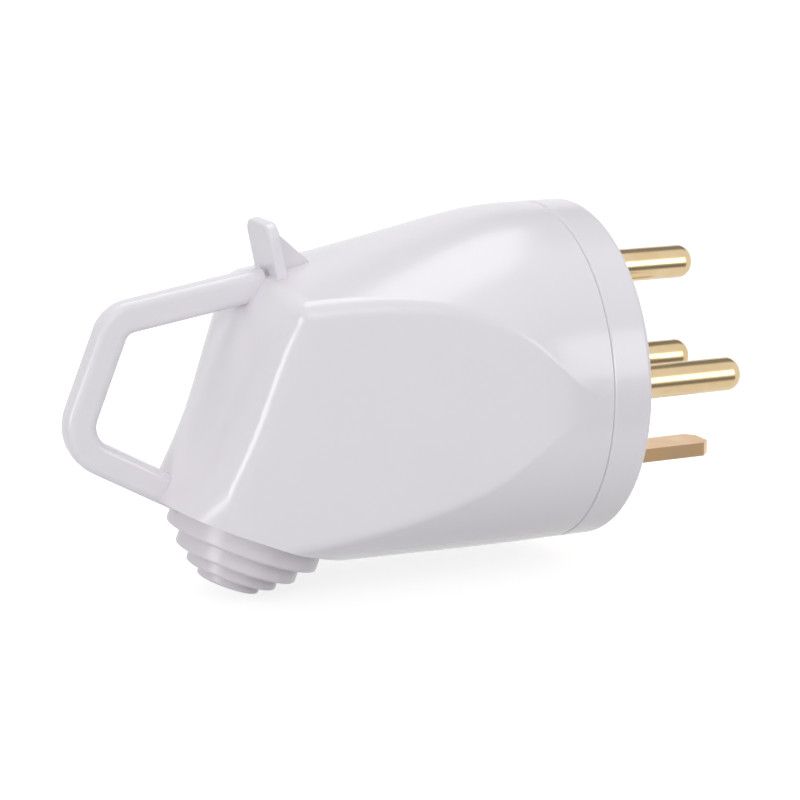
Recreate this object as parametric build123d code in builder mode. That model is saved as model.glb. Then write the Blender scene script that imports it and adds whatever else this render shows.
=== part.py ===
from build123d import *
import os
from math import asin, atan2, cos, hypot, radians, sin, sqrt, tan

# A three-phase plug with a finger loop. Millimetres, +Z up. The origin is the centre of the front
# face and +X is the way the pins point, so the housing lies behind the origin, along -X.

# Front face and its ring
face_radius = 33.0
rim_depth = 8.0
rim_fillet = 1.2
seam_chamfer = 0.3

# Spigot of the pin carrier, inside the mouth of the housing
spigot_depth = 7.0
spigot_wall = 2.4
spigot_gap = 0.15

# Housing: walls
wall = 2.6
flank_relief = 0.1
corner_fillet = 3.4
inner_corner_fillet = 1.2
mouth_depth = 8.5

# Housing: top line, its slope and its crown across
top_start = -12.0
top_blend = 15.0
top_slope = 0.228
crown_growth = 0.016

# Housing: bottom line
bottom_start = -14.0
bottom_blend = 15.0
bottom_slope = 0.022

# Housing: the two flat flanks that close towards the rear
flank_start = -14.6
flank_blend = 10.0
flank_slope = 0.28

# Housing: slanted rear wall, nearly a half circle in plan at its foot and nearly flat at the top,
# where it rolls forward. Each plan is (height, rearmost x, radius)
rear_plans = (
    (9.0 - face_radius, -87.2, face_radius - 13.9),
    (-8.0, -80.3, face_radius - 4.0),
    (7.0, -74.0, face_radius + 6.0),
    (face_radius - 19.0, -70.6, face_radius + 19.0),
    (face_radius - 13.0, -66.6, face_radius + 57.0),
    (face_radius - 6.0, -61.6, face_radius + 127.0),
)
rear_flare = 17.0
ridge_fillet = 4.5

# Housing: slanted face that carries the grommet
entry_x = -68.0
entry_z = 8.4 - face_radius
entry_slant = 22.0

# Finger loop, in the middle plane
loop_thickness = 5.8
loop_width = 5.0
loop_edge = 1.5
loop_top_root = (-64.5, 21.3)
loop_top_corner = (-92.9, 16.7)
loop_low_corner = (-101.9, -5.7)
loop_low_root = (-77.0, -19.9)
loop_top_bend = 5.0
loop_low_bend = 7.0

# Tab and its gusset, on the rear end of the top
tab_x = -62.4
tab_sink = 1.2188
tab_rise = 11.0
tab_lean = 11.0
tab_width = 12.0
tab_thickness = 2.2
tab_corner = 2.8
tab_edge = 0.6
gusset_thickness = 1.8
gusset_foot_x = -55.0
gusset_foot_sink = 0.506

# Grommet: rings of the stepped dome as (radius, height above the entry face)
ring_steps = ((14.9, 4.1), (11.9, 7.5), (8.9, 10.0), (6.1, 11.8))
ring_edge = 0.6
ring_seat_height = 0.4
ring_seat_step = 0.9
ring_clearance = 0.3
grommet_neck = 9.8
grommet_lip = 11.0
grommet_lip_thickness = 1.6
grommet_wall = 1.6
grommet_gap = 0.1

# Pins: a cross of four around one at the centre
pin_circle = face_radius - 13.8
pin_radius = 3.25
pin_length = 26.5
pin_dome = 2.4
shank_radius = 3.6
collar_radius = 5.5
collar_depth = 3.0
collar_gap = 0.2
shank_gap = 0.1
barrel_radius = 4.6
barrel_length = 19.0
conductor_radius = 2.9
conductor_depth = 12.5
barrel_chamfer = 0.5

# Flat earth blade
blade_length = 31.3
blade_width = 8.0
blade_thickness = 2.75
blade_tip = 2.0
blade_edge = 0.3
blade_gap = 0.1

# Plate that holds the pins in the carrier
retainer_thickness = 3.0
retainer_gap = 0.45
retainer_hole_gap = 0.15
retainer_side_gap = 2.15

# Screws: thread radius, head radius, head height. The rounding is a share of the head's height and
# the point a share of the thread's radius
terminal_thread = 2.0
terminal_head = 2.9
terminal_head_height = 2.6
terminal_rise = 0.8
terminal_inset = 6.5
cover_thread = 1.75
cover_head = 3.2
cover_head_height = 2.6
cover_screw_length = 18.0
retainer_thread = 1.4
retainer_head = 2.6
retainer_head_height = 1.9
retainer_screw_length = 7.5
clamp_thread = 1.75
clamp_head = 3.2
clamp_head_height = 2.5
clamp_screw_length = 13.0
thread_gap = 0.05
pilot_extra = 0.8
hole_gap = 0.25
slot_width = 0.9
slot_depth = 1.1
screw_rounding = 0.2
screw_point = 0.33

# Cover screws and the bosses of the housing they bite in
cover_screw_circle = face_radius - 9.6
cover_recess = 4.4
cover_recess_gap = 0.3
boss_radius = 3.4
boss_end_gap = 0.1
boss_length = 20.0
boss_web = 2.2

# Screws of the retainer plate
retainer_screw_circle = 16.0

# Cord clamp, on two posts of the rear wall
clamp_post_radius = 3.3
clamp_side_gap = 3.048
clamp_z = 1.0
clamp_seat_x = -58.0
clamp_bar_width = 8.0
clamp_bar_thickness = 3.0
clamp_ridge_radius = 2.0


# Laws of the housing's outer form

def eased(run, blend):
    """Length that grows as a parabola over the blend and then runs on straight."""
    if run <= 0:
        return 0.0
    return run * run / (2 * blend) if run < blend else run - blend / 2


def half_width(x):
    return face_radius - flank_relief - flank_slope * eased(flank_start - x, flank_blend)


def top_height(x):
    return face_radius - top_slope * eased(top_start - x, top_blend)


def crown_radius(x):
    return face_radius + crown_growth * max(top_start - x, 0.0) ** 2


def bottom_height(x):
    return -face_radius + bottom_slope * eased(bottom_start - x, bottom_blend)


def corner(side, arc_radius, arc_centre, turn, up):
    """Rounding of a corner between the flank at side and an arc: its ends on both and its middle."""
    centre_y = side - turn
    rise = up * sqrt((arc_radius - turn) ** 2 - centre_y ** 2)
    reach = hypot(centre_y, rise)
    lean = atan2(rise, centre_y)
    on_flank = (side, arc_centre + rise)
    middle = (centre_y + turn * cos(lean / 2), arc_centre + rise + turn * sin(lean / 2))
    on_arc = (centre_y * arc_radius / reach, arc_centre + rise * arc_radius / reach)
    return on_flank, middle, on_arc


def body_section(x, inset):
    """Closed outline of the body across X: crown, flanks and round bottom, with rounded corners."""
    turn = inner_corner_fillet if inset else corner_fillet
    side = half_width(x) - inset
    crown = crown_radius(x) - inset
    belly = face_radius - inset
    crown_centre = top_height(x) - crown_radius(x)
    belly_centre = bottom_height(x) + face_radius
    top = corner(side, crown, crown_centre, turn, 1)
    low = corner(side, belly, belly_centre, turn, -1)
    left = [tuple((-y, z) for y, z in points) for points in (top, low)]
    with BuildSketch(Plane.YZ.offset(x)) as outline:
        with BuildLine():
            Line(low[0], top[0])
            ThreePointArc(*top)
            ThreePointArc(top[2], (0, crown_centre + crown), left[0][2])
            ThreePointArc(*reversed(left[0]))
            Line(left[0][0], left[1][0])
            ThreePointArc(*left[1])
            ThreePointArc(left[1][2], (0, belly_centre - belly), low[2])
            ThreePointArc(*reversed(low))
        make_face()
    return outline.sketch


body_stations = (-rim_depth, -14.0, -21.0, -29.0, -38.0, -48.0, -58.0, -68.0, -79.0, -90.0)

# Plane of the entry face: its local Z points outwards, through the grommet
entry_out = (-sin(radians(entry_slant)), 0, -cos(radians(entry_slant)))
entry_along = (cos(radians(entry_slant)), 0, -sin(radians(entry_slant)))
entry_face = Plane(origin=(entry_x, 0, entry_z), x_dir=entry_along, z_dir=entry_out)


def rear_outline(z, rear_x, radius, inset):
    """Plan of all that the rear wall keeps: an arc round the rear and two legs that flare forward."""
    arc_radius = radius - inset
    turn = min(radians(90 - rear_flare), asin(min(1.0, face_radius / arc_radius)))
    centre_x = rear_x + radius
    arc_end = (centre_x - arc_radius * cos(turn), arc_radius * sin(turn))
    leg_end = (face_radius, arc_end[1] + (face_radius - arc_end[0]) * tan(radians(rear_flare)))
    with BuildSketch(Plane.XY.offset(z)) as outline:
        with BuildLine():
            ThreePointArc((arc_end[0], -arc_end[1]), (rear_x + inset, 0), arc_end)
            Polyline(arc_end, leg_end, (leg_end[0], -leg_end[1]), (arc_end[0], -arc_end[1]))
        make_face()
    return outline.sketch


rear_foot_z, rear_foot_x = rear_plans[0][:2]


def body_form(inset):
    """Body without its fittings: the loft, cut by the rear wall and by the entry face."""
    with BuildPart() as keep:
        loft(sections=[rear_outline(*plan, inset) for plan in rear_plans])
    with BuildPart() as behind:
        with BuildSketch(Plane.XY.offset(rear_foot_z)):
            with Locations((2 * body_stations[-1], 0)):
                Rectangle(-2 * body_stations[-1], 4 * face_radius, align=(Align.MIN, Align.CENTER))
        extrude(amount=rear_plans[-1][0] - rear_foot_z)
        add(keep, mode=Mode.SUBTRACT)
    with BuildPart() as form:
        loft(sections=[body_section(x, inset) for x in body_stations])
        add(behind, mode=Mode.SUBTRACT)
        split(bisect_by=entry_face.offset(-inset), keep=Keep.BOTTOM)
    return form


os.makedirs("parts", exist_ok=True)


def write(piece, label):
    """Name a finished piece and write its file."""
    piece.part.label = label
    export_step(piece.part, f"parts/{label}.step")


# Places across X, as (y, z)
def polar(radius, angle):
    return radius * cos(radians(angle)), radius * sin(radians(angle))


neutral_place = (0.0, 0.0)
line_places = (polar(pin_circle, 90), polar(pin_circle, 180), polar(pin_circle, 0))
earth_place = polar(pin_circle, 270)
cover_screw_places = (polar(cover_screw_circle, 45), polar(cover_screw_circle, 225))
retainer_screw_places = (polar(retainer_screw_circle, 135), polar(retainer_screw_circle, 315))
clamp_post_pitch = 2 * (half_width(clamp_seat_x) - wall - clamp_bar_width / 2 - clamp_side_gap)
clamp_places = ((-clamp_post_pitch / 2, clamp_z), (clamp_post_pitch / 2, clamp_z))

# Housing: solid outer form with the soft ridge round its rear wall
with BuildPart() as shell:
    add(body_form(0))
    rear_face = shell.faces().sort_by(Axis.X)[0]
    cut_face = shell.faces().filter_by(GeomType.PLANE).sort_by(Axis.X)[0]
    low_edges = cut_face.edges()
    ridge = [edge for edge in rear_face.edges() if not any(edge.is_same(low) for low in low_edges)]
    fillet(ridge, ridge_fillet)

# Housing: bosses for the cover screws and posts for the cord clamp, cut off inside the wall
with BuildPart() as fittings:
    with BuildSketch(Plane.YZ.offset(-rim_depth - boss_end_gap)):
        with Locations(*cover_screw_places):
            Circle(boss_radius)
    extrude(amount=-boss_length)
    web_start = rim_depth + spigot_depth + boss_end_gap + retainer_gap
    with BuildSketch(Plane.YZ.offset(-web_start)):
        with PolarLocations((cover_screw_circle + face_radius) / 2, 2, start_angle=45):
            Rectangle(face_radius - cover_screw_circle, boss_web)
    extrude(amount=web_start - rim_depth - boss_end_gap - boss_length)
    with BuildSketch(Plane.YZ.offset(clamp_seat_x)):
        with Locations(*clamp_places):
            Circle(clamp_post_radius)
    extrude(amount=rear_foot_x - clamp_seat_x)
    add(body_form(wall / 2), mode=Mode.INTERSECT)

# Housing: finger loop, swept round the middle plane
with BuildPart() as loop:
    with BuildLine(Plane.XZ) as loop_line:
        FilletPolyline(
            loop_top_root,
            loop_top_corner,
            loop_low_corner,
            loop_low_root,
            radius=(loop_top_bend, loop_low_bend),
        )
    with BuildSketch(Plane(loop_line.line @ 0, x_dir=(0, 1, 0), z_dir=loop_line.line % 0)):
        RectangleRounded(loop_width, loop_thickness, loop_edge)
    sweep()

# Housing: upright tab, with a gusset in front of it
tab_up = radians(tab_lean)
tab_root_z = top_height(tab_x) - tab_sink
tab_plane = Plane((tab_x, 0, tab_root_z), x_dir=(0, 1, 0), z_dir=(cos(tab_up), 0, sin(tab_up)))
with BuildPart() as tab:
    with BuildSketch(tab_plane):
        Rectangle(tab_width, tab_rise / cos(tab_up), align=(Align.CENTER, Align.MIN))
        fillet(vertices().group_by(Axis.Y)[-1], tab_corner)
    extrude(amount=tab_thickness / 2, both=True)
    fillet(tab.edges().filter_by(lambda edge: edge.center().Z > tab_root_z + tab_thickness), tab_edge)
    with BuildSketch(Plane.XZ):
        with BuildLine():
            Polyline(
                (tab_x, tab_root_z),
                (tab_x - tab_rise * tan(tab_up), tab_root_z + tab_rise),
                (gusset_foot_x, top_height(gusset_foot_x) - gusset_foot_sink),
                (gusset_foot_x, tab_root_z),
                close=True,
            )
        make_face()
    extrude(amount=gusset_thickness / 2, both=True)

with BuildPart() as housing:
    add(shell)
    add(loop)
    add(tab)
    add(body_form(wall), mode=Mode.SUBTRACT)
    with BuildSketch(Plane.YZ.offset(-rim_depth)):
        Circle(face_radius - wall)
    extrude(amount=-mouth_depth, mode=Mode.SUBTRACT)
    with BuildSketch(Plane.XZ):
        with Locations((-rim_depth, face_radius)):
            Rectangle(2 * seam_chamfer, 2 * seam_chamfer, rotation=45)
    revolve(axis=Axis.X, mode=Mode.SUBTRACT)
    add(fittings)
    with BuildSketch(Plane.YZ.offset(-rim_depth)):
        with Locations(*cover_screw_places):
            Circle(cover_thread + thread_gap)
    extrude(amount=rim_depth - cover_recess - cover_screw_length - pilot_extra, mode=Mode.SUBTRACT)
    with BuildSketch(Plane.YZ.offset(clamp_seat_x)):
        with Locations(*clamp_places):
            Circle(clamp_thread + thread_gap)
    extrude(amount=clamp_bar_thickness - clamp_screw_length - pilot_extra, mode=Mode.SUBTRACT)
    with BuildSketch(entry_face):
        Circle(grommet_neck + grommet_gap)
    extrude(amount=-2 * wall, mode=Mode.SUBTRACT)
    with BuildSketch(entry_face):
        Circle(ring_steps[0][0] + ring_clearance)
    extrude(amount=loop_thickness, mode=Mode.SUBTRACT)
write(housing, "housing")

# Grommet: one turned profile, across as the distance from its axis and up as the height above
# the entry face
with BuildPart() as grommet:
    profile_plane = Plane(entry_face.origin, x_dir=entry_along, z_dir=(0, 1, 0))
    with BuildSketch(profile_plane):
        lip_top = -wall - grommet_gap
        seat_radius = ring_steps[0][0] - ring_seat_step
        steps = []
        height = ring_seat_height
        for radius, top in ring_steps:
            steps += [(radius, height), (radius, top)]
            height = top
        with BuildLine():
            Polyline(
                (0, ring_steps[-1][1]),
                *reversed(steps),
                (seat_radius, ring_seat_height),
                (seat_radius, 0),
                (grommet_neck, 0),
                (grommet_neck, lip_top),
                (grommet_lip, lip_top),
                (grommet_lip, lip_top - grommet_lip_thickness),
                (grommet_neck - grommet_wall, lip_top - grommet_lip_thickness),
                (grommet_neck - grommet_wall, ring_steps[1][1] - grommet_wall),
                (ring_steps[3][0] - grommet_wall, ring_steps[1][1] - grommet_wall),
                (ring_steps[3][0] - grommet_wall, ring_steps[3][1] - grommet_wall),
                (0, ring_steps[3][1] - grommet_wall),
                close=True,
            )
        make_face()
        rims = [
            corner_point
            for corner_point in vertices()
            if any(
                abs(corner_point.X - radius) + abs(corner_point.Y - top) < 1e-6
                for radius, top in ring_steps
            )
        ]
        fillet(rims, ring_edge)
    revolve(axis=Axis(entry_face.origin, entry_out))
write(grommet, "grommet")

# Pin carrier: ring with the front face, spigot, pin seats and screw holes
with BuildPart() as carrier:
    with BuildSketch(Plane.YZ):
        Circle(face_radius)
    extrude(amount=-rim_depth)
    fillet(carrier.edges().group_by(Axis.X)[-1], rim_fillet)
    chamfer(carrier.edges().group_by(Axis.X)[0], seam_chamfer)
    spigot_radius = face_radius - wall - spigot_gap
    with BuildSketch(Plane.YZ.offset(-rim_depth)):
        Circle(spigot_radius)
        Circle(spigot_radius - spigot_wall, mode=Mode.SUBTRACT)
    extrude(amount=-spigot_depth)
    with BuildSketch(Plane.YZ):
        with Locations(neutral_place, *line_places):
            Circle(shank_radius + shank_gap)
        with Locations(earth_place):
            Rectangle(blade_width + 2 * blade_gap, blade_thickness + 2 * blade_gap)
        with Locations(*cover_screw_places):
            Circle(cover_thread + hole_gap)
    extrude(amount=-rim_depth, mode=Mode.SUBTRACT)
    with BuildSketch(Plane.YZ):
        with Locations(*cover_screw_places):
            Circle(cover_head + cover_recess_gap)
    extrude(amount=-cover_recess, mode=Mode.SUBTRACT)
    with BuildSketch(Plane.YZ.offset(-rim_depth)):
        with Locations(neutral_place, earth_place, *line_places):
            Circle(collar_radius + collar_gap)
    extrude(amount=collar_depth, mode=Mode.SUBTRACT)
    with BuildSketch(Plane.YZ.offset(-rim_depth)):
        with Locations(*retainer_screw_places):
            Circle(retainer_thread + thread_gap)
    extrude(amount=retainer_screw_length - retainer_thickness + pilot_extra, mode=Mode.SUBTRACT)
write(carrier, "pin_carrier")

# Plate behind the carrier, over the collars of the pins
with BuildPart() as retainer:
    with BuildSketch(Plane.YZ.offset(-rim_depth)):
        Circle(spigot_radius - spigot_wall - retainer_side_gap)
        with Locations(neutral_place, earth_place, *line_places):
            Circle(barrel_radius + retainer_hole_gap, mode=Mode.SUBTRACT)
        with Locations(*cover_screw_places):
            Circle(boss_radius + retainer_gap, mode=Mode.SUBTRACT)
        with Locations(*retainer_screw_places):
            Circle(retainer_thread + hole_gap, mode=Mode.SUBTRACT)
    extrude(amount=-retainer_thickness)
write(retainer, "pin_retainer")


def add_terminal(place, facing):
    """Collar and rear barrel of a contact at place, with its conductor hole and its screw hole."""
    axis_plane = Plane.YZ.offset(-rim_depth + collar_depth)
    with BuildPart() as terminal:
        with BuildSketch(axis_plane):
            with Locations(place):
                Circle(collar_radius)
        extrude(amount=-collar_depth)
        with BuildSketch(Plane.YZ.offset(-rim_depth)):
            with Locations(place):
                Circle(barrel_radius)
        extrude(amount=-barrel_length)
        chamfer(terminal.edges().group_by(Axis.X)[0], barrel_chamfer)
        with BuildSketch(Plane.YZ.offset(-rim_depth - barrel_length)):
            with Locations(place):
                Circle(conductor_radius)
        extrude(amount=conductor_depth, mode=Mode.SUBTRACT)
        with BuildSketch(screw_plane(place, facing, 0)):
            Circle(terminal_thread + thread_gap)
        extrude(amount=2 * barrel_radius, mode=Mode.SUBTRACT)
    return terminal


def screw_plane(place, facing, height):
    """Plane across a terminal screw, at a height from the contact's axis, facing outwards."""
    out = (0, cos(radians(facing)), sin(radians(facing)))
    screw_x = -rim_depth - barrel_length + terminal_inset
    origin = (screw_x, place[0] + height * out[1], place[1] + height * out[2])
    return Plane(origin, x_dir=(1, 0, 0), z_dir=out)


def round_contact(place, facing):
    """Round pin with its shank, collar and terminal, as one turned piece."""
    with BuildPart() as contact:
        with BuildSketch(Plane.YZ):
            with Locations(place):
                Circle(pin_radius)
        extrude(amount=pin_length)
        fillet(contact.edges().group_by(Axis.X)[-1], pin_dome)
        with BuildSketch(Plane.YZ):
            with Locations(place):
                Circle(shank_radius)
        extrude(amount=collar_depth - rim_depth)
        add(add_terminal(place, facing))
    return contact


contacts = {
    "neutral_pin": (neutral_place, 45),
    "line_pin_1": (line_places[0], 90),
    "line_pin_2": (line_places[1], 180),
    "line_pin_3": (line_places[2], 0),
}
for label, (place, facing) in contacts.items():
    write(round_contact(place, facing), label)

# Flat earth blade with the same terminal
earth_facing = 270
with BuildPart() as blade:
    with BuildSketch(Plane.XY.offset(earth_place[1] - blade_thickness / 2)):
        with Locations((collar_depth - rim_depth, 0)):
            Rectangle(blade_length + rim_depth - collar_depth, blade_width, align=(Align.MIN, Align.CENTER))
        chamfer(vertices().group_by(Axis.X)[-1], blade_tip)
    extrude(amount=blade_thickness)
    chamfer(blade.faces().sort_by(Axis.X)[-1].edges(), blade_edge)
    add(add_terminal(earth_place, earth_facing))
write(blade, "earth_blade")


def slotted_screw(seat, thread, head, head_height, length):
    """Cheese-head screw: seat is the plane under its head, facing out of the head."""
    with BuildPart() as screw:
        with BuildSketch(seat):
            Circle(head)
        extrude(amount=head_height)
        fillet(screw.edges().group_by(Axis(seat.origin, seat.z_dir))[-1], screw_rounding * head_height)
        with BuildSketch(seat):
            Circle(thread)
        extrude(amount=-length)
        chamfer(screw.edges().group_by(Axis(seat.origin, seat.z_dir))[0], screw_point * thread)
        with BuildSketch(seat.offset(head_height)):
            Rectangle(3 * head, slot_width)
        extrude(amount=-slot_depth, mode=Mode.SUBTRACT)
    return screw


# Terminal screws, standing a little out of their barrels
terminal_places = (neutral_place, *line_places, earth_place)
terminal_facings = (45, 90, 180, 0, earth_facing)
for number, (place, facing) in enumerate(zip(terminal_places, terminal_facings), start=1):
    seat = screw_plane(place, facing, barrel_radius + terminal_rise)
    screw_length = barrel_radius + terminal_rise - conductor_radius / 2
    screw = slotted_screw(seat, terminal_thread, terminal_head, terminal_head_height, screw_length)
    write(screw, f"terminal_screw_{number}")

# Cord clamp: a bar across the two posts, with a ridge that bites the cord
with BuildPart() as clamp_bar:
    with BuildSketch(Plane.YZ.offset(clamp_seat_x)):
        with Locations((0, clamp_z)):
            SlotCenterToCenter(clamp_post_pitch, clamp_bar_width)
        with Locations(*clamp_places):
            Circle(clamp_thread + hole_gap, mode=Mode.SUBTRACT)
    extrude(amount=clamp_bar_thickness)
    ridge_length = clamp_post_pitch - 2 * clamp_post_radius - 2 * clamp_ridge_radius
    with BuildSketch(Plane.XZ.offset(-ridge_length / 2)):
        with Locations((clamp_seat_x, clamp_z)):
            Circle(clamp_ridge_radius)
    extrude(amount=ridge_length)
write(clamp_bar, "cord_clamp_bar")

for number, (place, cover_place, retainer_place) in enumerate(
    zip(clamp_places, cover_screw_places, retainer_screw_places), start=1
):
    clamp_seat = Plane((clamp_seat_x + clamp_bar_thickness, *place), x_dir=(0, 1, 0), z_dir=(1, 0, 0))
    clamp_screw = slotted_screw(clamp_seat, clamp_thread, clamp_head, clamp_head_height, clamp_screw_length)
    write(clamp_screw, f"clamp_screw_{number}")
    cover_seat = Plane((-cover_recess, *cover_place), x_dir=(0, 1, 0), z_dir=(1, 0, 0))
    cover_screw = slotted_screw(cover_seat, cover_thread, cover_head, cover_head_height, cover_screw_length)
    write(cover_screw, f"cover_screw_{number}")
    retainer_seat = Plane(
        (-rim_depth - retainer_thickness, *retainer_place), x_dir=(0, 1, 0), z_dir=(-1, 0, 0)
    )
    retainer_screw = slotted_screw(
        retainer_seat, retainer_thread, retainer_head, retainer_head_height, retainer_screw_length
    )
    write(retainer_screw, f"retainer_screw_{number}")
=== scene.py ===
"""Mains plug with a finger loop: finishes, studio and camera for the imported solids."""

import logging
from abc import ABC, abstractmethod
from dataclasses import dataclass
from enum import Enum

import bpy
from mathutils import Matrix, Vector


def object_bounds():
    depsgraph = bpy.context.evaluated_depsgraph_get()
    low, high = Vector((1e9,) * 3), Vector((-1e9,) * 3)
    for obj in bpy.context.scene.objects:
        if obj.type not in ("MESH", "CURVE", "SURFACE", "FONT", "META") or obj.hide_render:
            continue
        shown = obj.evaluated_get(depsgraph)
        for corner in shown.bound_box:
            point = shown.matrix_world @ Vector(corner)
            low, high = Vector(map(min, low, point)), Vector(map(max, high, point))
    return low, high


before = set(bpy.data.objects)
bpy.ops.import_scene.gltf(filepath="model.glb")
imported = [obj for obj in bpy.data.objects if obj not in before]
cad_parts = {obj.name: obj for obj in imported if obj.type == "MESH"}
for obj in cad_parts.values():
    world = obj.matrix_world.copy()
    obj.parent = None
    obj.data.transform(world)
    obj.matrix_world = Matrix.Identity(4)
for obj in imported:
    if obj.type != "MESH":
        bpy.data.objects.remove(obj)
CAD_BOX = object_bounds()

LOG = logging.getLogger("plug")
MILLIMETRE = 0.001
WHITE = (1.0, 1.0, 1.0, 1.0)

# The curve that the sRGB standard gives between a colour as written and the light it stands for.
SRGB_KNEE = 0.04045
SRGB_SLOPE = 12.92
SRGB_OFFSET = 0.055
SRGB_POWER = 2.4

# Octaves that a noise adds to its first: one leaves a soft cloud, and more give finer grain.
CLOUD_DETAIL = 1.0
GRAIN_DETAIL = 2.0
STREAK_DETAIL = 3.0
MOTTLE_DETAIL = 4.0
FIBRE_DETAIL = 6.0

# Numbers of a colour mix's sockets, whose names its number and vector sockets share.
MIX_FIRST = 6
MIX_SECOND = 7
MIX_RESULT = 2


def linear(hex_colour: str) -> tuple[float, float, float, float]:
    """Turns an sRGB hex colour to the linear values that the shaders take.

    Args:
        hex_colour: Six hexadecimal digits after a hash.

    Returns:
        Red, green, blue and an alpha of one.
    """
    shares = [int(hex_colour[at:at + 2], 16) / 255 for at in (1, 3, 5)]
    red, green, blue = [
        share / SRGB_SLOPE
        if share <= SRGB_KNEE
        else ((share + SRGB_OFFSET) / (1 + SRGB_OFFSET)) ** SRGB_POWER
        for share in shares
    ]
    return red, green, blue, 1.0


def per_metre(size_mm: float) -> float:
    """Texture scale at which one feature is about size_mm across."""
    return 1 / (size_mm * MILLIMETRE)


def add_node(
    tree: bpy.types.NodeTree,
    kind: str,
    inputs: dict[str | int, object] | None = None,
    **settings: object,
) -> bpy.types.Node:
    """Adds one node with its settings, its values and its incoming links.

    Args:
        tree: Node tree that takes the node.
        kind: Blender's name of the node's type.
        inputs: Socket name or number to a value, or to the output that feeds it.
        settings: Properties of the node.

    Returns:
        The new node.
    """
    node = tree.nodes.new(kind)
    for name, setting in settings.items():
        setattr(node, name, setting)
    for socket, value in (inputs or {}).items():
        if isinstance(value, bpy.types.NodeSocket):
            tree.links.new(value, node.inputs[socket])
        else:
            node.inputs[socket].default_value = value
    return node


def set_stops(ramp: bpy.types.Node, places: tuple[float, float], colours: tuple[str, str]) -> None:
    """Gives a colour ramp its two stops.

    Args:
        ramp: Colour ramp node, which starts with two stops.
        places: Place of each stop, from 0 to 1.
        colours: Hex colour of each stop.
    """
    for element, place, colour in zip(ramp.color_ramp.elements, places, colours):
        element.position = place
        element.color = linear(colour)


def new_material(name: str) -> tuple[bpy.types.Material, bpy.types.NodeTree, bpy.types.Node]:
    """Starts a material with a bare principled shader on its output.

    Args:
        name: Name of the material.

    Returns:
        The material, its node tree and the shader.
    """
    material = bpy.data.materials.new(name)
    material.use_nodes = True
    tree = material.node_tree
    tree.nodes.clear()
    shader = add_node(tree, "ShaderNodeBsdfPrincipled")
    add_node(tree, "ShaderNodeOutputMaterial", {"Surface": shader.outputs["BSDF"]})
    return material, tree, shader


class ToolMarks(Enum):
    """How brass was worked, as the share of X, Y and Z by which its marks vary.

    Turning a pin leaves rings round it, so they vary along X. Rolling strip leaves streaks along
    it, so they vary across X.
    """

    TURNED = (1.0, 0.02, 0.02)
    ROLLED = (0.03, 1.0, 1.0)


class Finish(ABC):
    """Surface of a piece, which makes its own material."""

    @abstractmethod
    def build(self) -> bpy.types.Material:
        """Makes the material.

        Returns:
            The finished material.
        """


@dataclass(frozen=True)
class MouldedPlastic(Finish):
    """Plastic coloured right through, as it leaves a polished mould."""

    # To the eye: a pale, slightly cool body under a glossy skin. The skin is faintly wavy, as
    # moulded walls are, so the edges of its highlights waver, and its gloss drifts from place to
    # place, as on a handled plug. The grain is drawn several times as coarse as the real one,
    # which would be too fine to show, and keeps the highlights from being razor sharp.
    name: str
    colour: str = "#EBE7ED"
    deep_colour: str = "#E7E4EA"
    roughness: tuple[float, float] = (0.17, 0.23)
    ior: float = 1.53
    tint_span: tuple[float, float] = (0.1, 0.9)
    peel_mm: float = 1.6
    peel_depth_mm: float = 0.012
    grain_mm: float = 0.35
    grain_depth_mm: float = 0.003
    cloud_mm: float = 22.0

    def build(self) -> bpy.types.Material:
        """Makes the material.

        Returns:
            The finished material.
        """
        material, tree, shader = new_material(self.name)
        place = add_node(tree, "ShaderNodeTexCoord").outputs["Object"]
        cloud = add_node(
            tree,
            "ShaderNodeTexNoise",
            {"Vector": place, "Scale": per_metre(self.cloud_mm), "Detail": CLOUD_DETAIL},
        ).outputs["Fac"]
        tint = add_node(tree, "ShaderNodeValToRGB", {"Fac": cloud})
        set_stops(tint, self.tint_span, (self.deep_colour, self.colour))
        gloss = add_node(
            tree,
            "ShaderNodeMapRange",
            {"Value": cloud, "To Min": self.roughness[0], "To Max": self.roughness[1]},
        )
        peel = add_node(
            tree,
            "ShaderNodeTexNoise",
            {"Vector": place, "Scale": per_metre(self.peel_mm), "Detail": CLOUD_DETAIL},
        )
        grain = add_node(
            tree,
            "ShaderNodeTexNoise",
            {"Vector": place, "Scale": per_metre(self.grain_mm), "Detail": GRAIN_DETAIL},
        )
        skin = add_node(
            tree,
            "ShaderNodeBump",
            {
                "Height": peel.outputs["Fac"],
                "Strength": 1.0,
                "Distance": self.peel_depth_mm * MILLIMETRE,
            },
        )
        pores = add_node(
            tree,
            "ShaderNodeBump",
            {
                "Height": grain.outputs["Fac"],
                "Strength": 1.0,
                "Distance": self.grain_depth_mm * MILLIMETRE,
                "Normal": skin.outputs["Normal"],
            },
        )
        tree.links.new(tint.outputs["Color"], shader.inputs["Base Color"])
        tree.links.new(gloss.outputs["Result"], shader.inputs["Roughness"])
        tree.links.new(pores.outputs["Normal"], shader.inputs["Normal"])
        shader.inputs["IOR"].default_value = self.ior
        return material


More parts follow.
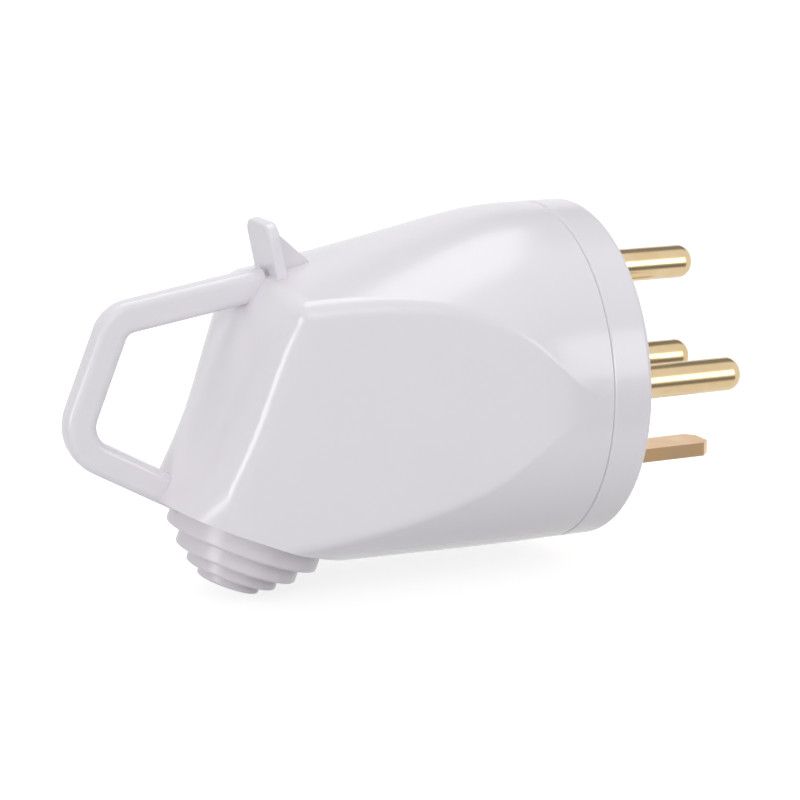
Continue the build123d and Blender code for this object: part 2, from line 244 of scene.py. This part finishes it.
@dataclass(frozen=True)
class WorkedBrass(Finish):
    """Bright brass that keeps the fine marks of its tool and a light tarnish."""

    # To the eye: warm metal with bright lines beside dark ones, which the tool's marks soften and
    # break up a little, and a yellow that tarnish dulls in places. The marks are drawn about three
    # times as coarse as they are, or they would not show. The shift moves them off the planes of
    # the noise's own grid, some of which hold the plug's axis.
    name: str
    marks: ToolMarks
    colour: str = "#E2CBA4"
    tarnish: str = "#DABF94"
    roughness: tuple[float, float] = (0.18, 0.25)
    tint_span: tuple[float, float] = (0.2, 0.7)
    pitch_mm: float = 0.5
    shift_mm: tuple[float, float, float] = (0.13, 0.17, 0.11)
    mark_depth_mm: float = 0.002
    cloud_mm: float = 5.0

    def build(self) -> bpy.types.Material:
        """Makes the material.

        Returns:
            The finished material.
        """
        material, tree, shader = new_material(self.name)
        place = add_node(tree, "ShaderNodeTexCoord").outputs["Object"]
        shift = tuple(along * MILLIMETRE for along in self.shift_mm)
        drawn = add_node(
            tree,
            "ShaderNodeMapping",
            {"Vector": place, "Location": shift, "Scale": self.marks.value},
        )
        streaks = add_node(
            tree,
            "ShaderNodeTexNoise",
            {
                "Vector": drawn.outputs["Vector"],
                "Scale": per_metre(self.pitch_mm),
                "Detail": STREAK_DETAIL,
            },
        )
        cloud = add_node(
            tree,
            "ShaderNodeTexNoise",
            {"Vector": place, "Scale": per_metre(self.cloud_mm), "Detail": CLOUD_DETAIL},
        ).outputs["Fac"]
        tint = add_node(tree, "ShaderNodeValToRGB", {"Fac": cloud})
        set_stops(tint, self.tint_span, (self.tarnish, self.colour))
        gloss = add_node(
            tree,
            "ShaderNodeMapRange",
            {"Value": cloud, "To Min": self.roughness[1], "To Max": self.roughness[0]},
        )
        bump = add_node(
            tree,
            "ShaderNodeBump",
            {
                "Height": streaks.outputs["Fac"],
                "Strength": 1.0,
                "Distance": self.mark_depth_mm * MILLIMETRE,
            },
        )
        tree.links.new(tint.outputs["Color"], shader.inputs["Base Color"])
        tree.links.new(gloss.outputs["Result"], shader.inputs["Roughness"])
        tree.links.new(bump.outputs["Normal"], shader.inputs["Normal"])
        shader.inputs["Metallic"].default_value = 1.0
        return material


@dataclass(frozen=True)
class PlatedSteel(Finish):
    """Steel with a thin electroplated coat of zinc, as small screws have."""

    # To the eye: pale blue-grey metal with a soft shine that is cloudy from spot to spot, so that a
    # screw's head reads as metal and not as grey plastic.
    name: str = "zinc_plated_steel"
    colour: str = "#C9CBD0"
    dull_colour: str = "#A9ABB2"
    roughness: tuple[float, float] = (0.26, 0.42)
    tint_span: tuple[float, float] = (0.35, 0.6)
    cloud_mm: float = 1.2

    def build(self) -> bpy.types.Material:
        """Makes the material.

        Returns:
            The finished material.
        """
        material, tree, shader = new_material(self.name)
        place = add_node(tree, "ShaderNodeTexCoord").outputs["Object"]
        cloud = add_node(
            tree,
            "ShaderNodeTexNoise",
            {"Vector": place, "Scale": per_metre(self.cloud_mm), "Detail": MOTTLE_DETAIL},
        ).outputs["Fac"]
        tint = add_node(tree, "ShaderNodeValToRGB", {"Fac": cloud})
        set_stops(tint, self.tint_span, (self.dull_colour, self.colour))
        gloss = add_node(
            tree,
            "ShaderNodeMapRange",
            {"Value": cloud, "To Min": self.roughness[0], "To Max": self.roughness[1]},
        )
        tree.links.new(tint.outputs["Color"], shader.inputs["Base Color"])
        tree.links.new(gloss.outputs["Result"], shader.inputs["Roughness"])
        shader.inputs["Metallic"].default_value = 1.0
        return material


@dataclass(frozen=True)
class PressedBoard(Finish):
    """Phenolic board: layers of paper and resin, pressed hot."""

    # To the eye: dark brown, half matt and flecked with short paler fibres that lie along Y. It
    # shows only when the plug is taken apart.
    name: str = "pressed_phenolic_board"
    colour: str = "#6B4227"
    fibre_colour: str = "#8A5C38"
    roughness: float = 0.45
    tint_span: tuple[float, float] = (0.4, 0.65)
    fibre_mm: float = 0.8
    fibre_depth_mm: float = 0.02
    fibre_lay: tuple[float, float, float] = (1.0, 0.25, 1.0)

    def build(self) -> bpy.types.Material:
        """Makes the material.

        Returns:
            The finished material.
        """
        material, tree, shader = new_material(self.name)
        place = add_node(tree, "ShaderNodeTexCoord").outputs["Object"]
        laid = add_node(tree, "ShaderNodeMapping", {"Vector": place, "Scale": self.fibre_lay})
        fibres = add_node(
            tree,
            "ShaderNodeTexNoise",
            {
                "Vector": laid.outputs["Vector"],
                "Scale": per_metre(self.fibre_mm),
                "Detail": FIBRE_DETAIL,
            },
        ).outputs["Fac"]
        tint = add_node(tree, "ShaderNodeValToRGB", {"Fac": fibres})
        set_stops(tint, self.tint_span, (self.colour, self.fibre_colour))
        bump = add_node(
            tree,
            "ShaderNodeBump",
            {"Height": fibres, "Strength": 1.0, "Distance": self.fibre_depth_mm * MILLIMETRE},
        )
        tree.links.new(tint.outputs["Color"], shader.inputs["Base Color"])
        tree.links.new(bump.outputs["Normal"], shader.inputs["Normal"])
        shader.inputs["Roughness"].default_value = self.roughness
        return material


@dataclass(frozen=True)
class MattPaper(Finish):
    """Rolled-out paper that the plug stands over."""

    # To the eye: plain white with no shine, darker only where the plug shades it. The glow is for
    # the camera alone, so it lights nothing.
    name: str = "matt_white_paper"
    colour: str = "#CACACA"
    roughness: float = 0.9
    glow: float = 0.70

    def build(self) -> bpy.types.Material:
        """Makes the material.

        Returns:
            The finished material.
        """
        material, tree, shader = new_material(self.name)
        shader.inputs["Base Color"].default_value = linear(self.colour)
        shader.inputs["Roughness"].default_value = self.roughness
        path = add_node(tree, "ShaderNodeLightPath")
        glow = add_node(
            tree,
            "ShaderNodeMath",
            {0: path.outputs["Is Camera Ray"], 1: self.glow},
            operation="MULTIPLY",
        )
        shader.inputs["Emission Color"].default_value = WHITE
        tree.links.new(glow.outputs[0], shader.inputs["Emission Strength"])
        return material


@dataclass(frozen=True)
class SubAssembly(ABC):
    """Solids of the plug that belong together, each left where the frame has it."""

    title: str

    def put_on(self, nodes: tuple[str, ...], finish: Finish) -> None:
        """Puts one finish on some of the solids and reports each.

        Args:
            nodes: Names of the solids.
            finish: Finish that they share.
        """
        material = finish.build()
        for name in nodes:
            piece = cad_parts[name]
            piece.data.materials.clear()
            piece.data.materials.append(material)
            LOG.info("%s: %s in %s", self.title, name, material.name)

    @abstractmethod
    def dress(self) -> None:
        """Puts the finishes on all the solids."""


@dataclass(frozen=True)
class Body(SubAssembly):
    """Housing with its finger loop, and the grommet under its rear."""

    # The grommet's soft vinyl takes the mould's polish less well, so its rings look a little duller
    # and darker than the housing.
    title: str = "body"
    housing: tuple[str, ...] = ("housing",)
    housing_finish: Finish = MouldedPlastic("moulded_polyamide_body")
    grommet: tuple[str, ...] = ("grommet",)
    grommet_finish: Finish = MouldedPlastic(
        "moulded_soft_vinyl", "#E2DEE4", "#DDD9DF", (0.26, 0.32)
    )

    def dress(self) -> None:
        """Dresses the housing and the grommet."""
        self.put_on(self.housing, self.housing_finish)
        self.put_on(self.grommet, self.grommet_finish)


@dataclass(frozen=True)
class Front(SubAssembly):
    """Round carrier of the pins, and the board that holds their collars in it."""

    title: str = "front"
    carrier: tuple[str, ...] = ("pin_carrier",)
    carrier_finish: Finish = MouldedPlastic("moulded_polyamide_front")
    retainer: tuple[str, ...] = ("pin_retainer",)
    retainer_finish: Finish = PressedBoard()

    def dress(self) -> None:
        """Dresses the carrier and the retainer."""
        self.put_on(self.carrier, self.carrier_finish)
        self.put_on(self.retainer, self.retainer_finish)


@dataclass(frozen=True)
class Contacts(SubAssembly):
    """Four pins turned from rod, and the earth blade stamped from rolled strip."""

    # Strip brass is redder and duller than the rod, which sets the blade apart from the pins.
    title: str = "contacts"
    pins: tuple[str, ...] = ("neutral_pin", "line_pin_1", "line_pin_2", "line_pin_3")
    pin_finish: Finish = WorkedBrass("turned_brass", ToolMarks.TURNED)
    blade: tuple[str, ...] = ("earth_blade",)
    blade_finish: Finish = WorkedBrass(
        "rolled_brass", ToolMarks.ROLLED, "#F0CBA2", "#E6BC8C", (0.26, 0.34)
    )

    def dress(self) -> None:
        """Dresses the pins and the blade."""
        self.put_on(self.pins, self.pin_finish)
        self.put_on(self.blade, self.blade_finish)


@dataclass(frozen=True)
class CordClamp(SubAssembly):
    """Bar that holds the cord inside the housing."""

    # Its mould is a plain one, so the nylon is matt, and it is a little darker than the housing.
    title: str = "cord clamp"
    bar: tuple[str, ...] = ("cord_clamp_bar",)
    bar_finish: Finish = MouldedPlastic("moulded_clamp_nylon", "#CFCFD2", "#C4C4C8", (0.4, 0.5))

    def dress(self) -> None:
        """Dresses the bar."""
        self.put_on(self.bar, self.bar_finish)


@dataclass(frozen=True)
class Screws(SubAssembly):
    """All the screws of the plug, which have the same plating."""

    title: str = "screws"
    word: str = "screw"
    finish: Finish = PlatedSteel()

    def dress(self) -> None:
        """Dresses every solid whose name holds the word for a screw."""
        self.put_on(tuple(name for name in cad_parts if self.word in name), self.finish)


@dataclass(frozen=True)
class Softbox:
    """Rectangular studio lamp that shines at the plug."""

    # Places and sizes are in metres, and the power is in watts.
    name: str
    place: tuple[float, float, float]
    width: float
    height: float
    power: float
    aim: tuple[float, float, float] = (-0.035, 0.0, 0.0)

    def build(self) -> None:
        """Adds the lamp to the scene."""
        lamp = bpy.data.lights.new(self.name, "AREA")
        lamp.shape = "RECTANGLE"
        lamp.size = self.width
        lamp.size_y = self.height
        lamp.energy = self.power
        holder = bpy.data.objects.new(self.name, lamp)
        holder.location = self.place
        holder.rotation_mode = "QUATERNION"
        facing = Vector(self.aim) - Vector(self.place)
        holder.rotation_quaternion = facing.to_track_quat("-Z", "Y")
        bpy.context.scene.collection.objects.link(holder)


@dataclass(frozen=True)
class DimCorner:
    """Soft dark patch of the white surround, which only shiny pieces mirror."""

    # The edge and the core are cosines of the angle from the middle of the patch, at which it
    # begins and at which it is as dark as its colour.
    towards: tuple[float, float, float]
    edge: float
    core: float
    colour: str


@dataclass(frozen=True)
class Studio:
    """Pale floor, white surround, soft lamps and the camera."""

    floor_drop: float = 0.001
    floor_side: float = 4.0
    floor_finish: Finish = MattPaper()
    ambient: float = 0.46
    dim_corners: tuple[DimCorner, ...] = (
        DimCorner((0.507, 0.494, 0.706), 0.90, 0.96, "#8C8C8C"),
        DimCorner((0.507, -0.815, -0.280), 0.965, 0.988, "#6E6E6E"),
    )
    lamps: tuple[Softbox, ...] = (
        Softbox("top_softbox", (-0.02, 0.12, 0.50), 0.40, 0.34, 0.96),
        Softbox("front_softbox", (-0.32, -0.72, 0.36), 0.50, 0.50, 1.10),
        Softbox("left_softbox", (-0.56, -0.24, 0.05), 0.18, 0.18, 0.60),
        Softbox("right_softbox", (0.26, -0.50, 0.16), 0.26, 0.26, 0.54),
    )
    camera_place: tuple[float, float, float] = (-0.2107, -0.3875, 0.0954)
    camera_along: tuple[float, float, float] = (0.3991, 0.8884, -0.2268)
    camera_lens_mm: float = 102.4
    camera_sensor_mm: float = 36.0
    camera_nearest: float = 0.01
    camera_farthest: float = 20.0

    def build_world(self) -> None:
        """Lights the plug evenly, shows white behind it and gives shiny pieces a studio to mirror.

        That studio is white all round but for the dim corners, which give the brass dark lines.
        """
        world = bpy.data.worlds.new("white_surround")
        bpy.context.scene.world = world
        world.use_nodes = True
        tree = world.node_tree
        tree.nodes.clear()
        path = add_node(tree, "ShaderNodeLightPath")
        way = add_node(tree, "ShaderNodeTexCoord").outputs["Generated"]
        studio = WHITE
        for corner in self.dim_corners:
            nearness = add_node(
                tree, "ShaderNodeVectorMath", {0: way, 1: corner.towards}, operation="DOT_PRODUCT"
            )
            share = add_node(
                tree,
                "ShaderNodeMapRange",
                {
                    "Value": nearness.outputs["Value"],
                    "From Min": corner.edge,
                    "From Max": corner.core,
                },
            )
            mixed = add_node(
                tree,
                "ShaderNodeMix",
                {
                    "Factor": share.outputs["Result"],
                    MIX_FIRST: studio,
                    MIX_SECOND: linear(corner.colour),
                },
                data_type="RGBA",
            )
            studio = mixed.outputs[MIX_RESULT]
        mirrored = add_node(
            tree,
            "ShaderNodeMath",
            {0: path.outputs["Is Glossy Ray"], 1: path.outputs["Is Transmission Ray"]},
            operation="MAXIMUM",
        )
        unseen = add_node(
            tree,
            "ShaderNodeMix",
            {
                "Factor": mirrored.outputs[0],
                MIX_FIRST: (self.ambient,) * 3 + (1.0,),
                MIX_SECOND: studio,
            },
            data_type="RGBA",
        )
        shown = add_node(
            tree,
            "ShaderNodeMix",
            {
                "Factor": path.outputs["Is Camera Ray"],
                MIX_FIRST: unseen.outputs[MIX_RESULT],
                MIX_SECOND: WHITE,
            },
            data_type="RGBA",
        )
        light = add_node(tree, "ShaderNodeBackground", {"Color": shown.outputs[MIX_RESULT]})
        add_node(tree, "ShaderNodeOutputWorld", {"Surface": light.outputs["Background"]})

    def build_floor(self) -> None:
        """Lays the pale floor just under the plug.

        Mirroring rays pass through it, so that brass shows the surround below the plug too.
        """
        half = self.floor_side / 2
        height = CAD_BOX[0].z - self.floor_drop
        mesh = bpy.data.meshes.new("floor")
        corners = [(x, y, height) for x, y in ((-half, -half), (half, -half), (half, half), (-half, half))]
        mesh.from_pydata(corners, [], [(0, 1, 2, 3)])
        floor = bpy.data.objects.new("floor", mesh)
        bpy.context.scene.collection.objects.link(floor)
        mesh.materials.append(self.floor_finish.build())
        floor.visible_glossy = False

    def build_camera(self) -> None:
        """Stands the camera where it sees the plug as wanted."""
        data = bpy.data.cameras.new("camera")
        data.lens = self.camera_lens_mm
        data.sensor_width = self.camera_sensor_mm
        data.clip_start = self.camera_nearest
        data.clip_end = self.camera_farthest
        camera = bpy.data.objects.new("camera", data)
        camera.location = self.camera_place
        camera.rotation_mode = "QUATERNION"
        camera.rotation_quaternion = Vector(self.camera_along).to_track_quat("-Z", "Y")
        bpy.context.scene.collection.objects.link(camera)
        bpy.context.scene.camera = camera

    def build(self) -> None:
        """Builds the camera, the surround, the floor and the lamps."""
        bpy.context.scene.view_settings.view_transform = "Standard"
        self.build_camera()
        self.build_world()
        self.build_floor()
        for lamp in self.lamps:
            lamp.build()
            LOG.info("studio: %s", lamp.name)


def main() -> None:
    """Builds the studio and dresses every sub-assembly, in order."""
    logging.basicConfig(level=logging.INFO, format="%(name)s %(message)s")
    Studio().build()
    for assembly in (Body(), Front(), Contacts(), CordClamp(), Screws()):
        assembly.dress()


if __name__ == "__main__":
    main()
